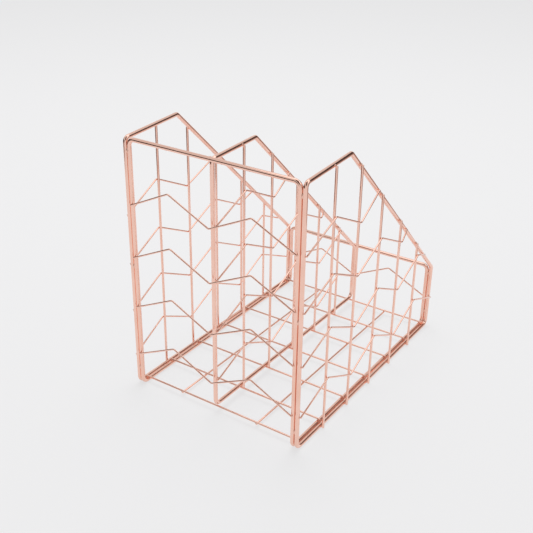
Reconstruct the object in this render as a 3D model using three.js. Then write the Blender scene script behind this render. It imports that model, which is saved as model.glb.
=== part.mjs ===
// Wire desk file holder with two slots: a tall back at +Y, a low front at -Y.
//
// Every piece is one round plated wire, bent or straight. The wires lie against each
// other and are spot welded wherever two of them meet, so each wire is its own solid.
// Frame: millimetres, +Z up, the origin on the desk under the middle of the holder.
// Left is -X and right is +X, as seen from the low front.

import * as THREE from 'three';

// The four gauges of wire, as diameters.
const heavyWire = 3.8;
const uprightWire = 2.2;
const zigzagWire = 1.5;
const floorWire = 1.8;

// The gap that is left at a weld between the faces of two wires, and the gap
// between the two ends of a closed loop.
const weldGap = 0.2;
const buttGap = 0.3;

// The holder's outline, between the centre lines of its heavy wires.
const holderDepth = 250;
const holderWidth = 170.4;
const backHeight = 235;
const peakHeight = 239;
const peakSetback = 65;
const frontHeight = 67.4;

// The divider, which stands on the floor wires between the two side panels.
const dividerOffset = 0.8;
const dividerBackHeight = 233.6;
const dividerPeakHeight = 236;
const dividerPeakSetback = 57.5;
const dividerFrontHeight = 68;

// The uprights that cross the side panels and the divider, from just above the desk
// or the floor wires to the centre line of the top wire.
const uprightCount = 5;
const uprightPitch = 40.9;
const leftUprightShift = 5.5;
const rightUprightShift = 1.8;
const uprightFoot = 0.8;

// The zigzag wires: the height of the lowest bend and the step from row to row.
const zigzagRows = 4;
const zigzagRise = 19.5;
const leftZigzagLow = 33.4;
const leftZigzagStep = 48.2;
const rightZigzagLow = 29.5;
const rightZigzagStep = 45.7;
const dividerZigzagLow = 34.2;
const dividerZigzagStep = 48;
const backZigzagLow = 34;
const backZigzagStep = 48.1;
const frontZigzagLow = 31;
const frontZigzagShift = 3;

// The two long wires under the floor.
const longWireOffset = 40.5;

// Bend radii of the centre lines.
const frameBend = 5.5;
const topBend = 4;
const zigzagBend = 3;

// Facets: the sides of each section, and the greatest turn between two rings.
const heavySides = 12;
const thinSides = 8;
const ringTurn = THREE.MathUtils.degToRad(30);
const straightTurn = THREE.MathUtils.degToRad(0.1);

// Where the heavy wires run: the saddle frame lies just inside the side outlines.
const heavyPitch = heavyWire + weldGap;
const sideX = holderWidth / 2;
const saddleX = sideX - heavyPitch;
const postY = holderDepth / 2;
const deskZ = heavyWire / 2;

// The length of zigzag wire that clears an upright, measured from its middle.
const uprightClearance = uprightWire / 2 + zigzagWire;

// The floor wires lie on the saddle frame, and the divider stands on the floor wires.
const floorZ = heavyWire + weldGap + floorWire / 2;
const floorEndY = postY - frameBend - floorWire / 2;
const dividerZ = floorZ + floorWire / 2 + weldGap + heavyWire / 2;

function direction(from, to) {
  return to.clone().sub(from).normalize();
}

// The centre line of a wire: straight runs joined by round bends. An extrusion along
// it gets one ring at each end of a run and a few rings round each bend.
class WirePath extends THREE.Curve {
  constructor(corners, bendRadii) {
    super();
    this.centres = [];
    this.tangents = [];
    const last = corners.length - 1;
    this.addRing(corners[0], direction(corners[0], corners[1]));
    for (let i = 1; i < last; i++) {
      this.addBend(corners[i - 1], corners[i], corners[i + 1], bendRadii[i]);
    }
    this.addRing(corners[last], direction(corners[last - 1], corners[last]));
  }

  addRing(centre, tangent) {
    this.centres.push(centre);
    this.tangents.push(tangent);
  }

  addBend(before, corner, after, radius) {
    const arriving = direction(before, corner);
    const leaving = direction(corner, after);
    const turn = arriving.angleTo(leaving);
    if (turn < straightTurn) {
      return;
    }
    const inward = leaving.clone().sub(arriving).normalize();
    const hub = corner.clone().addScaledVector(inward, radius / Math.cos(turn / 2));
    const start = corner.clone().addScaledVector(arriving, -radius * Math.tan(turn / 2));
    const axis = arriving.clone().cross(leaving).normalize();
    const steps = Math.ceil(turn / ringTurn);
    for (let step = 0; step <= steps; step++) {
      const angle = (turn * step) / steps;
      const spoke = start.clone().sub(hub).applyAxisAngle(axis, angle);
      this.addRing(hub.clone().add(spoke), arriving.clone().applyAxisAngle(axis, angle));
    }
  }

  getSpacedPoints() {
    return this.centres;
  }

  getTangentAt(u) {
    return this.tangents[Math.round(u * (this.tangents.length - 1))].clone();
  }
}

// A regular polygon whose flats lie at the wire's radius, so that wires which lie
// against each other, or on the desk, meet flat to flat.
function wireSection(diameter, sides) {
  const reach = diameter / 2 / Math.cos(Math.PI / sides);
  const points = [];
  for (let i = 0; i < sides; i++) {
    const angle = ((i + 0.5) * 2 * Math.PI) / sides;
    points.push(new THREE.Vector2(reach * Math.cos(angle), reach * Math.sin(angle)));
  }
  return new THREE.Shape(points);
}

function plating() {
  return new THREE.MeshStandardMaterial({ color: 0xdf9c84, roughness: 0.22, metalness: 1 });
}

const holder = new THREE.Group();

// Adds one wire to the holder. The bend radius is one number for the whole wire, or
// a list with one for each corner.
function addWire(name, corners, diameter, bend = zigzagBend) {
  const radii = Array.isArray(bend) ? bend : corners.map(() => bend);
  const path = new WirePath(corners, radii);
  const sides = diameter === heavyWire ? heavySides : thinSides;
  const geometry = new THREE.ExtrudeGeometry(wireSection(diameter, sides), {
    steps: path.centres.length - 1,
    extrudePath: path,
    bevelEnabled: false,
  });
  const mesh = new THREE.Mesh(geometry, plating());
  mesh.name = name;
  holder.add(mesh);
}

function point(x, y, z) {
  return new THREE.Vector3(x, y, z);
}

// The saddle frame: one closed loop that runs over the back, down both back posts,
// along both sides of the floor, and up and over the low front.
function addSaddleFrame() {
  const corners = [
    point(-saddleX, -buttGap / 2, deskZ),
    point(-saddleX, -postY, deskZ),
    point(-saddleX, -postY, frontHeight),
    point(saddleX, -postY, frontHeight),
    point(saddleX, -postY, deskZ),
    point(saddleX, postY, deskZ),
    point(saddleX, postY, backHeight),
    point(-saddleX, postY, backHeight),
    point(-saddleX, postY, deskZ),
    point(-saddleX, buttGap / 2, deskZ),
  ];
  addWire('saddle_frame', corners, heavyWire, frameBend);
}

// The outline of an upright panel: a base, a tall back post, a short top that rises
// to the peak, a long slope down to the front, and a low front post.
function addOutline(panel) {
  const { name, x, profile } = panel;
  const corners = [
    point(x, -buttGap / 2, profile.baseZ),
    point(x, -profile.endY, profile.baseZ),
    point(x, -profile.endY, profile.frontZ),
    point(x, profile.peakY, profile.peakZ),
    point(x, profile.endY, profile.backZ),
    point(x, profile.endY, profile.baseZ),
    point(x, buttGap / 2, profile.baseZ),
  ];
  const bends = [0, frameBend, topBend, topBend, topBend, frameBend, 0];
  addWire(`${name}_outline`, corners, heavyWire, bends);
}

// The height of an outline's top wire above the desk at a place along the panel.
function outlineTop(profile, y) {
  const { endY, backZ, peakY, peakZ, frontZ } = profile;
  if (y > peakY) {
    return THREE.MathUtils.mapLinear(y, peakY, endY, peakZ, backZ);
  }
  return THREE.MathUtils.mapLinear(y, -endY, peakY, frontZ, peakZ);
}

function uprightY(number, shift) {
  return shift + ((uprightCount + 1) / 2 - number) * uprightPitch;
}

// The uprights lie against the outer face of their outline.
function addUprights(panel) {
  const x = panel.x + panel.outward * (heavyWire / 2 + weldGap + uprightWire / 2);
  for (let number = 1; number <= uprightCount; number++) {
    const y = uprightY(number, panel.uprightShift);
    const ends = [point(x, y, panel.footZ), point(x, y, outlineTop(panel.profile, y))];
    addWire(`${panel.name}_upright_${number}`, ends, uprightWire);
  }
}

// The bends of a panel's zigzag wire from the back post to the front: low at the
// posts and at every second upright, high at the others. The wire stops where it
// meets the slope of the outline, but clear of the uprights on either side.
function zigzagBends({ profile, uprightShift }, low) {
  const bends = [{ y: profile.endY, z: low }];
  for (let number = 1; number <= uprightCount + 1; number++) {
    const last = bends[bends.length - 1];
    const next = {
      y: number > uprightCount ? -profile.endY : uprightY(number, uprightShift),
      z: number % 2 === 1 ? low + zigzagRise : low,
    };
    const below = outlineTop(profile, last.y) - last.z;
    const above = next.z - outlineTop(profile, next.y);
    if (above > 0) {
      const meeting = THREE.MathUtils.lerp(last.y, next.y, below / (below + above));
      const nearest = last.y - 2 * uprightClearance;
      const farthest = next.y + uprightClearance;
      const y = THREE.MathUtils.clamp(meeting, farthest, nearest);
      bends.push({ y, z: THREE.MathUtils.mapLinear(y, last.y, next.y, last.z, next.z) });
      return bends;
    }
    bends.push(next);
  }
  return bends;
}

// The corner where the wire begins to lean in, on the run from an upright to its end:
// it first passes the upright, so that it clears it.
function leanCorner(x, bend, end) {
  const run = Math.hypot(end.y - bend.y, end.z - bend.z);
  const share = uprightClearance / run;
  const y = THREE.MathUtils.lerp(bend.y, end.y, share);
  return point(x, y, THREE.MathUtils.lerp(bend.z, end.z, share));
}

// The zigzag wires lie against the outer face of the uprights, and lean in at both
// ends to lie against the outline.
function addPanelZigzags(panel) {
  const outlineFace = heavyWire / 2 + weldGap;
  const endX = panel.x + panel.outward * (outlineFace + zigzagWire / 2);
  const uprightFace = outlineFace + uprightWire + weldGap;
  const x = panel.x + panel.outward * (uprightFace + zigzagWire / 2);
  for (let row = 0; row < zigzagRows; row++) {
    const bends = zigzagBends(panel, panel.zigzagLow + row * panel.zigzagStep);
    const start = bends[0];
    const end = bends[bends.length - 1];
    const inner = bends.slice(1, -1);
    const corners = [
      point(endX, start.y, start.z),
      leanCorner(x, inner[0], start),
      ...inner.map((bend) => point(x, bend.y, bend.z)),
      leanCorner(x, inner[inner.length - 1], end),
      point(endX, end.y, end.z),
    ];
    addWire(`${panel.name}_zigzag_${row + 1}`, corners, zigzagWire);
  }
}

// A zigzag wire across the holder, from post to post: two high bends with a low one
// between them, shifted sideways by a small amount. Its ends keep the same slope.
function addCrossZigzag(name, y, low, shift) {
  const halfRun = saddleX / 2;
  const endZ = (side) => low + (zigzagRise * side * shift) / halfRun;
  const corners = [
    point(saddleX, y, endZ(1)),
    point(shift + halfRun, y, low + zigzagRise),
    point(shift, y, low),
    point(shift - halfRun, y, low + zigzagRise),
    point(-saddleX, y, endZ(-1)),
  ];
  addWire(name, corners, zigzagWire);
}

// The back and front zigzags lie against the outer faces of the posts.
function addCrossZigzags() {
  const y = postY + heavyWire / 2 + weldGap + zigzagWire / 2;
  for (let row = 0; row < zigzagRows; row++) {
    addCrossZigzag(`back_zigzag_${row + 1}`, y, backZigzagLow + row * backZigzagStep, 0);
  }
  addCrossZigzag('front_zigzag', -y, frontZigzagLow, frontZigzagShift);
}

// The floor: one cross wire under every upright and one at each end, on the saddle
// frame, and two long wires under the cross wires.
function addFloor() {
  const places = [floorEndY];
  for (let number = 1; number <= uprightCount; number++) {
    places.push(uprightY(number, rightUprightShift));
  }
  places.push(-floorEndY);
  const endX = saddleX + heavyWire / 2;
  places.forEach((y, i) => {
    const ends = [point(-endX, y, floorZ), point(endX, y, floorZ)];
    addWire(`floor_cross_wire_${i + 1}`, ends, floorWire);
  });

  const longZ = floorZ - floorWire - weldGap;
  for (const [side, sign] of [['left', -1], ['right', 1]]) {
    const x = sign * longWireOffset;
    const ends = [point(x, -floorEndY, longZ), point(x, floorEndY, longZ)];
    addWire(`floor_long_wire_${side}`, ends, floorWire);
  }
}

const sideProfile = {
  baseZ: deskZ,
  endY: postY,
  backZ: backHeight,
  peakY: postY - peakSetback,
  peakZ: peakHeight,
  frontZ: frontHeight,
};

// The divider's posts stand just inside the top wires of the saddle frame.
const dividerProfile = {
  baseZ: dividerZ,
  endY: postY - heavyPitch,
  backZ: dividerBackHeight,
  peakY: postY - heavyPitch - dividerPeakSetback,
  peakZ: dividerPeakHeight,
  frontZ: dividerFrontHeight,
};

const panels = [
  {
    name: 'left',
    x: -sideX,
    outward: -1,
    profile: sideProfile,
    footZ: uprightFoot,
    uprightShift: leftUprightShift,
    zigzagLow: leftZigzagLow,
    zigzagStep: leftZigzagStep,
  },
  {
    name: 'right',
    x: sideX,
    outward: 1,
    profile: sideProfile,
    footZ: uprightFoot,
    uprightShift: rightUprightShift,
    zigzagLow: rightZigzagLow,
    zigzagStep: rightZigzagStep,
  },
  {
    name: 'divider',
    x: dividerOffset,
    outward: -1,
    profile: dividerProfile,
    footZ: floorZ + floorWire / 2 + weldGap,
    uprightShift: rightUprightShift,
    zigzagLow: dividerZigzagLow,
    zigzagStep: dividerZigzagStep,
  },
];

addSaddleFrame();
for (const panel of panels) {
  addOutline(panel);
  addUprights(panel);
  addPanelZigzags(panel);
}
addCrossZigzags();
addFloor();

export default holder;
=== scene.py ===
import math
from itertools import combinations, product

import bmesh
import bpy
from mathutils import Matrix, Vector, geometry


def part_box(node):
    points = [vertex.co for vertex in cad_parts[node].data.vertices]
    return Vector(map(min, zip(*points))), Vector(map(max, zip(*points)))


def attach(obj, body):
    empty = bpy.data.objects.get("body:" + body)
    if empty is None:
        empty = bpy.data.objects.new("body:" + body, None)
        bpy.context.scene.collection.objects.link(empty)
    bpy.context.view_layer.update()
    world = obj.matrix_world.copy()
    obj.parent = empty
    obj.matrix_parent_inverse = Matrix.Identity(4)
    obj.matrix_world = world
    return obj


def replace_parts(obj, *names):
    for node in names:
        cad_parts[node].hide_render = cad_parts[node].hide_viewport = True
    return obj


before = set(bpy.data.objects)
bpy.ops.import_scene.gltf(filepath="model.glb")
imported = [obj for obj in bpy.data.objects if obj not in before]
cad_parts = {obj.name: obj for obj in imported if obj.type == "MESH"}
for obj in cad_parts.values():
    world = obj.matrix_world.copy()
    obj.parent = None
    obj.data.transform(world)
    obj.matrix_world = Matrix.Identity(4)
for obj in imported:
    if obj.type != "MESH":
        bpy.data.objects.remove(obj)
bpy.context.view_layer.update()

scene = bpy.context.scene
mm = 0.001  # lengths are in metres


# One node's output. Adding to it or multiplying it makes Math nodes.
class Signal:
    def __init__(self, board, socket):
        self.board = board
        self.socket = socket

    def __add__(self, other):
        return self.board.maths("ADD", self, other)

    def __radd__(self, other):
        return self.board.maths("ADD", other, self)

    def __mul__(self, other):
        return self.board.maths("MULTIPLY", self, other)

    def __rmul__(self, other):
        return self.board.maths("MULTIPLY", other, self)


# The nodes of a material or of the world, empty at first.
class Board:
    def __init__(self, owner):
        owner.use_nodes = True
        self.tree = owner.node_tree
        self.tree.nodes.clear()

    # Any node: its type, its settings, then values or signals for its sockets, in order
    # or by name. Returns the output asked for, or else the first.
    def node(self, kind, settings=None, *values, output=0, **named):
        made = self.tree.nodes.new(kind)
        for key, value in (settings or {}).items():
            if key == "stops":
                self.setStops(made.color_ramp, value)
            else:
                setattr(made, key, value)
        for socket, value in zip(made.inputs, values):
            self.feed(socket, value)
        for key, value in named.items():
            self.feed(made.inputs[key.replace("_", " ")], value)
        return Signal(self, made.outputs[output]) if made.outputs else None

    def maths(self, operation, *values):
        return self.node("ShaderNodeMath", {"operation": operation}, *values)

    def setStops(self, ramp, stops):
        while len(ramp.elements) < len(stops):
            ramp.elements.new(1.0)
        for element, (place, colour) in zip(ramp.elements, stops):
            element.position = place
            element.color = colour

    def feed(self, socket, value):
        if isinstance(value, Signal):
            self.tree.links.new(value.socket, socket)
        else:
            socket.default_value = value


# A colour by its red, green and blue levels in a picture, from 0 to 255.
def sRgb(*levels):
    def toLinear(level):
        share = level / 255
        return share / 12.92 if share <= 0.04045 else ((share + 0.055) / 1.055) ** 2.4
    return (*map(toLinear, levels), 1.0)


plating = {
    "pale": (0.985, 0.655, 0.547),
    "deep": (0.94, 0.588, 0.475),
    "deepUpTo": 0.3,  # of the cloud noise
    "paleFrom": 0.7,
    "roughness": 0.12,
    "roughnessSpread": 0.05,
    # Three noises, by the sockets of their nodes, and the bump that two of them make.
    "cloud": {"Scale": 55.0, "Detail": 3.0, "Roughness": 0.55},
    "ripple": {"Scale": 130.0, "Detail": 1.0, "Roughness": 0.4},
    "grain": {"Scale": 900.0, "Detail": 2.0, "Roughness": 0.6},
    "rippleHeight": 0.06 * mm,
    "grainHeight": 0.006 * mm,
}


# Rose-gold plating over drawn wire: cloudy colour, patchy gloss, a slow ripple and a fine
# grain. Brightness scales the colour, and dulling the roughness.
def makePlating(name, brightness, dulling):
    material = bpy.data.materials.new(name)
    board = Board(material)
    place = board.node("ShaderNodeTexCoord", output="Object")
    cloud, ripple, grain = [
        board.node("ShaderNodeTexNoise", None, Vector=place, **plating[noise])
        for noise in ("cloud", "ripple", "grain")]
    deep, pale = [(*(channel * brightness for channel in plating[tint]), 1.0)
                  for tint in ("deep", "pale")]
    stops = [(plating["deepUpTo"], deep), (plating["paleFrom"], pale)]
    colour = board.node("ShaderNodeValToRGB", {"stops": stops}, cloud)
    spread = plating["roughnessSpread"]
    gloss = plating["roughness"] * dulling - spread + cloud * spread + grain * spread
    height = ripple * plating["rippleHeight"] + grain * plating["grainHeight"]
    normal = board.node("ShaderNodeBump", None, Strength=1.0, Distance=1.0, Height=height)
    shader = board.node("ShaderNodeBsdfPrincipled", None, Base_Color=colour, Metallic=1.0,
                        Roughness=gloss, Normal=normal)
    board.node("ShaderNodeOutputMaterial", None, shader)
    return material


brightPlating = makePlating("brightPlating", brightness=1.0, dulling=1.0)
weldPlating = makePlating("weldPlating", brightness=0.92, dulling=1.5)


reading = {
    "mergeDistance": 0.001 * mm,
    "flatAngle": math.radians(0.5),
    "roundness": 0.01 * mm,  # the most by which a cut end's corners differ in their reach
    "sideCorners": 4,
}


def middleOf(points):
    return sum(points, Vector()) / len(points)


# A cut end has more corners than a flat of the wire's side, all as far from its middle.
def isCutEnd(corners):
    middle = middleOf(corners)
    reaches = [(corner - middle).length for corner in corners]
    isRound = max(reaches) - min(reaches) < reading["roundness"]
    return isRound and len(corners) > reading["sideCorners"]


# The corners of one cut end, once the triangles of each flat face are joined.
def findCutEnd(bm):
    flat = bm.copy()
    bmesh.ops.dissolve_limit(flat, angle_limit=reading["flatAngle"], verts=flat.verts,
                             edges=flat.edges)
    faces = [[vert.co.copy() for vert in face.verts] for face in flat.faces]
    flat.free()
    return next(corners for corners in faces if isCutEnd(corners))


# Reads a wire's centre line back from its CAD node: the middle and the direction of
# each ring of corners, and the wire's radius to its flats.
def readWire(node):
    bm = bmesh.new()
    bm.from_mesh(node.data)
    bmesh.ops.remove_doubles(bm, verts=bm.verts, dist=reading["mergeDistance"])
    cutEnd = findCutEnd(bm)
    ring = [min(bm.verts, key=lambda vert: (vert.co - corner).length) for corner in cutEnd]
    seen = set()
    rings = []
    while ring:
        corners = [vert.co.copy() for vert in ring]
        rings.append((middleOf(corners), ringNormal(corners)))
        seen.update(ring)
        linked = [edge.other_vert(vert) for vert in ring for edge in vert.link_edges]
        ring = [vert for vert in dict.fromkeys(linked) if vert not in seen]
    bm.free()
    reach = (cutEnd[0] - rings[0][0]).length
    radius = reach * math.cos(math.pi / len(cutEnd))
    return turnForward(rings), radius


# The direction square to a ring, from the two corners that show it best.
def ringNormal(corners):
    first = corners[0]
    crosses = [(a - first).cross(b - first) for a, b in combinations(corners[1:], 2)]
    return max(crosses, key=lambda cross: cross.length).normalized()


# Turns every ring's direction the way that the rings follow each other.
def turnForward(rings):
    forward = []
    for i, (centre, normal) in enumerate(rings):
        here = min(i, len(rings) - 2)
        along = rings[here + 1][0] - rings[here][0]
        forward.append((centre, normal if normal.dot(along) > 0 else -normal))
    return forward


# The matrix of a thing that stands at a point, with its own Z along a direction.
def placed(point, direction):
    turned = Vector(direction).to_track_quat("Z", "Y").to_matrix().to_4x4()
    return Matrix.Translation(point) @ turned


def newObject(name, bm, material):
    mesh = bpy.data.meshes.new(name)
    bm.to_mesh(mesh)
    bm.free()
    mesh.materials.append(material)
    made = bpy.data.objects.new(name, mesh)
    scene.collection.objects.link(made)
    return made


def newPiece(name, bm, material):
    piece = newObject(name, bm, material)
    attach(piece, "root")
    return piece


tube = {
    "heavyRadius": 1.5 * mm,  # a wire with a larger radius gets the heavy sides
    "heavySides": 32,
    "thinSides": 20,
    "bendStep": math.radians(6),
    "straightTurn": math.radians(0.3),  # a run that turns less is drawn straight
    "endRound": 0.35,  # of the radius
    "endSegments": 3,
}


# Draws a ring of edges straight on, or round a bend, and returns the last ring.
def drawOn(bm, ring, start, end):
    (here, arriving), (there, leaving) = start, end
    turn = arriving.angle(leaving)
    if turn < tube["straightTurn"]:
        made = bmesh.ops.extrude_edge_only(bm, edges=ring)["geom"]
        verts = [item for item in made if isinstance(item, bmesh.types.BMVert)]
        bmesh.ops.translate(bm, verts=verts, vec=there - here)
        return [item for item in made if isinstance(item, bmesh.types.BMEdge)
                and item.verts[0] in verts and item.verts[1] in verts]
    axis = arriving.cross(leaving).normalized()
    bendRadius = (there - here).length / 2 / math.sin(turn / 2)
    hub = here + axis.cross(arriving) * bendRadius
    verts = list(dict.fromkeys(vert for edge in ring for vert in edge.verts))
    made = bmesh.ops.spin(bm, geom=verts + ring, cent=hub, axis=axis, angle=turn,
                          steps=math.ceil(turn / tube["bendStep"]))["geom_last"]
    return [item for item in made if isinstance(item, bmesh.types.BMEdge)]


# One round wire along the rings, with both cut ends closed and rounded off.
def makeTube(name, rings, radius):
    bm = bmesh.new()
    sides = tube["heavySides"] if radius > tube["heavyRadius"] else tube["thinSides"]
    bmesh.ops.create_circle(bm, segments=sides, radius=radius, matrix=placed(*rings[0]))
    firstRing = list(bm.edges)
    ring = firstRing
    for start, end in zip(rings, rings[1:]):
        ring = drawOn(bm, ring, start, end)
    bmesh.ops.holes_fill(bm, edges=firstRing + ring, sides=0)
    bmesh.ops.recalc_face_normals(bm, faces=bm.faces)
    bmesh.ops.bevel(bm, geom=firstRing + ring, offset=radius * tube["endRound"],
                    affect="EDGES", segments=tube["endSegments"], profile=0.5, material=-1)
    for face in bm.faces:
        face.smooth = len(face.verts) == 4  # all but the two flat ends
    return newPiece(name, bm, brightPlating)


wires = {name: readWire(node) for name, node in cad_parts.items()}
for name, (rings, radius) in wires.items():
    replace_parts(makeTube(name + "_tube", rings, radius), name)
print("wires:", len(wires))


weld = {
    "slack": 0.35 * mm,  # the widest gap that a bead closes
    "parallel": 0.1,  # the sine of the angle below which two runs lie side by side
    "width": 1.12,  # half the bead, as shares of the thinner wire's radius
    "height": 0.55,
    "subdivisions": 2,
    "backPostHeights": (18 * mm, 121 * mm, 225 * mm),
    "frontPostHeights": (16 * mm, 60 * mm),
    "postHalfSize": Vector((1.0, 1.75, 2.6)) * mm,
    "dividerHalfSize": Vector((1.7, 1.0, 1.7)) * mm,
}


def straightRuns(rings):
    return [(here, there) for (here, arriving), (there, leaving) in zip(rings, rings[1:])
            if arriving.angle(leaving) < tube["straightTurn"]]


# How far a point lies beyond the nearer end of a run, along it: below zero between them.
def pastEnds(run, point):
    start, end = run
    length = (end - start).length
    along = (point - start).dot(end - start) / length
    return max(-along, along - length)


def sideBySide(runA, runB):
    alongA, alongB = [(end - start).normalized() for start, end in (runA, runB)]
    return alongA.cross(alongB).length < weld["parallel"]


# The bead between two runs, if they cross and touch: its middle, its direction from wire
# to wire, and half its size.
def beadBetween(runA, radiusA, runB, radiusB):
    closest = geometry.intersect_line_line(*runA, *runB)
    if closest is None or sideBySide(runA, runB):
        return None
    pointA, pointB = closest
    thin = min(radiusA, radiusB)
    if max(pastEnds(runA, pointA), pastEnds(runB, pointB)) > thin:
        return None
    if (pointB - pointA).length > radiusA + radiusB + weld["slack"]:
        return None
    middle = pointA.lerp(pointB, radiusA / (radiusA + radiusB))
    halfSize = Vector((weld["width"], weld["width"], weld["height"])) * thin
    return middle, pointB - pointA, halfSize


def crossingBeads():
    wireRuns = [(straightRuns(rings), radius) for rings, radius in wires.values()]
    beads = [beadBetween(runA, radiusA, runB, radiusB)
             for (runsA, radiusA), (runsB, radiusB) in combinations(wireRuns, 2)
             for runA, runB in product(runsA, runsB)]
    return [bead for bead in beads if bead]


# Beads up the seams where the side panels' posts stand beside the saddle frame's, and one
# where the divider's back corner meets the saddle frame's top wire.
def postBeads():
    upright = Vector((0, 0, 1))
    saddleLow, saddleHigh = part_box("saddle_frame")
    saddleRadius = wires["saddle_frame"][1]
    seams = ((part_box("left_outline")[1][0] + saddleLow[0]) / 2,
             (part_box("right_outline")[0][0] + saddleHigh[0]) / 2)
    posts = ((saddleHigh[1] - saddleRadius, weld["backPostHeights"]),
             (saddleLow[1] + saddleRadius, weld["frontPostHeights"]))
    beads = [(Vector((x, y, z)), upright, weld["postHalfSize"])
             for x in seams for y, heights in posts for z in heights]
    dividerLow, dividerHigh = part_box("divider_outline")
    corner = Vector(((dividerLow[0] + dividerHigh[0]) / 2, dividerHigh[1],
                     saddleHigh[2] - saddleRadius))
    return beads + [(corner, upright, weld["dividerHalfSize"])]


def makeWelds():
    beads = crossingBeads() + postBeads()
    bm = bmesh.new()
    for middle, direction, halfSize in beads:
        size = Matrix.Diagonal(halfSize).to_4x4()
        bmesh.ops.create_icosphere(bm, subdivisions=weld["subdivisions"], radius=1.0,
                                   matrix=placed(middle, direction) @ size)
    for face in bm.faces:
        face.smooth = True
    newPiece("welds", bm, weldPlating)
    print("welds:", len(beads))


makeWelds()


view = {
    "azimuth": math.radians(213.76),  # from the low front, round by the right
    "elevation": math.radians(26.69),
    "roll": math.radians(0.87),
    "distance": 0.79944,
    "aside": -0.02546,  # this and the height place the point that is looked at
    "height": 0.0931,
    "focalPixels": 855.71,
    "imagePixels": 533,
    "sensor": 36.0,  # millimetres
    "clipStart": 0.01,
}


def addCamera():
    azimuth, elevation, roll = view["azimuth"], view["elevation"], view["roll"]
    reach = math.cos(elevation)
    back = Vector((math.sin(azimuth) * reach, -math.cos(azimuth) * reach,
                   math.sin(elevation)))
    aside = Vector((0, 0, 1)).cross(back).normalized()
    rise = back.cross(aside)
    right = aside * math.cos(roll) + rise * math.sin(roll)
    up = rise * math.cos(roll) - aside * math.sin(roll)
    target = Vector((0, 0, view["height"])) + aside * view["aside"]
    data = bpy.data.cameras.new("camera")
    data.sensor_width = view["sensor"]
    data.lens = view["focalPixels"] / view["imagePixels"] * view["sensor"]
    data.clip_start = view["clipStart"]
    camera = bpy.data.objects.new("camera", data)
    turned = Matrix((right, up, back)).transposed().to_4x4()
    camera.matrix_world = Matrix.Translation(target + back * view["distance"]) @ turned
    scene.collection.objects.link(camera)
    scene.camera = camera


# A flat stage piece, two metres square until the matrix sizes and places it.
def newStagePiece(name, material, matrix):
    bm = bmesh.new()
    bmesh.ops.create_grid(bm, x_segments=1, y_segments=1, size=1.0, matrix=matrix)
    piece = newObject(name, bm, material)
    return piece


floor = {
    "size": 12.0,
    "colour": sRgb(234, 234, 235),
    "glow": 0.8,
}


# One for the rays by which the camera, gloss and glass see the floor, zero for the rest.
def seenDirectly(board):
    rays = board.node("ShaderNodeLightPath").socket.node.outputs
    camera, glossy, glass = [Signal(board, rays[name]) for name in (
        "Is Camera Ray", "Is Glossy Ray", "Is Transmission Ray")]
    return board.maths("MAXIMUM", board.maths("MAXIMUM", camera, glossy), glass)


# The floor takes the shadow, and glows evenly where it is seen.
def addFloor():
    material = bpy.data.materials.new("paleFloor")
    board = Board(material)
    matt = board.node("ShaderNodeBsdfDiffuse", None, floor["colour"])
    glow = board.node("ShaderNodeEmission", None, floor["colour"], 1.0)
    share = seenDirectly(board) * floor["glow"]
    board.node("ShaderNodeOutputMaterial", None,
               board.node("ShaderNodeMixShader", None, share, matt, glow))
    newStagePiece("floor", material, Matrix.Scale(floor["size"] / 2, 4))


room = {
    "wall": sRgb(228, 228, 228),
    "ceiling": sRgb(218, 217, 216),
    "wallTop": 0.03,  # this and the next run from 0, level, to 1, straight up
    "ceilingStart": 0.2,
}


# A pale wall all round, up to a slightly darker ceiling.
def addRoom():
    world = bpy.data.worlds.new("room")
    scene.world = world
    board = Board(world)
    direction = board.node("ShaderNodeTexCoord", output="Generated")
    rise = board.node("ShaderNodeSeparateXYZ", None, direction, output="Z")
    stops = [(room["wallTop"], room["wall"]), (room["ceilingStart"], room["ceiling"])]
    colour = board.node("ShaderNodeValToRGB", {"stops": stops}, rise)
    board.node("ShaderNodeOutputWorld", None,
               board.node("ShaderNodeBackground", None, colour, 1.0))


lamp = {
    "place": (0.35, -0.5, 1.7),
    "size": 1.1,
    "power": 21.0,
}


# The lamp shines along its own -Z, here at the middle of the desk.
def addLamp():
    data = bpy.data.lights.new("overheadLamp", "AREA")
    data.size = lamp["size"]
    data.energy = lamp["power"]
    light = bpy.data.objects.new("overheadLamp", data)
    light.matrix_world = placed(lamp["place"], lamp["place"])
    light.visible_glossy = False
    scene.collection.objects.link(light)


cardWhite = (1.0, 1.0, 1.0, 1.0)
cardBrown = (1.0, 0.72, 0.64, 1.0)
cardFadeHeight = 0.4

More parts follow.
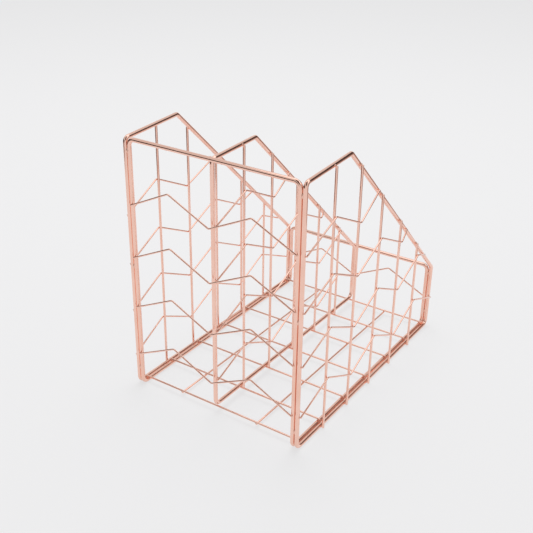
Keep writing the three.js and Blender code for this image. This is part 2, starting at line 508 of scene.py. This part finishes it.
# Cards that only the metal mirrors. The size is the width and the height, and the glow is
# given at the floor and from the fade height up.
cards = {
    "overheadCard": {"middle": (-0.55, -0.14, 1.3), "facing": (0.0, 0.01, -1.3),
                     "size": (2.3, 1.05), "glow": (1.42, 1.42), "colour": cardWhite},
    "backCard": {"middle": (0.87, -0.82, 0.65), "facing": (-0.87, 0.82, 0.0),
                 "size": (1.6, 1.3), "glow": (1.0, 0.78), "colour": cardWhite},
    "leftFlag": {"middle": (-0.3, -0.3, 0.14), "facing": (1.0, 1.0, 0.0),
                 "size": (0.75, 0.28), "glow": (0.42, 0.05), "colour": cardBrown},
    "tallLeftFlag": {"middle": (-0.57, -1.06, 0.59), "facing": (0.57, 1.06, 0.0),
                     "size": (1.05, 1.18), "glow": (0.06, 0.06), "colour": cardBrown},
    "rightFlag": {"middle": (0.63, 0.49, 0.24), "facing": (-0.63, -0.49, 0.0),
                  "size": (1.8, 0.48), "glow": (0.2, 0.03), "colour": cardBrown},
    "cameraFlag": {"middle": (-0.3, 0.5, 0.86), "facing": (0.3, -0.5, -0.76),
                   "size": (0.75, 1.0), "glow": (0.12, 0.12), "colour": cardBrown},
}


def makeCardGlow(name, card):
    material = bpy.data.materials.new(name)
    board = Board(material)
    place = board.node("ShaderNodeTexCoord", output="Object")
    height = board.node("ShaderNodeSeparateXYZ", None, place, output="Z")
    glow = board.node("ShaderNodeMapRange", {"interpolation_type": "SMOOTHSTEP"}, height,
                      0.0, cardFadeHeight, *card["glow"])
    board.node("ShaderNodeOutputMaterial", None,
               board.node("ShaderNodeEmission", None, card["colour"], glow))
    return material


def addCards():
    for name, card in cards.items():
        width, height = card["size"]
        size = Matrix.Diagonal((width / 2, height / 2, 1.0)).to_4x4()
        piece = newStagePiece(name, makeCardGlow(name, card),
                              placed(card["middle"], -Vector(card["facing"])) @ size)
        piece.visible_camera = False
        piece.visible_diffuse = False
        piece.visible_shadow = False


addCamera()
addFloor()
addRoom()
addLamp()
addCards()
scene.view_settings.view_transform = "Standard"
print("studio ready")
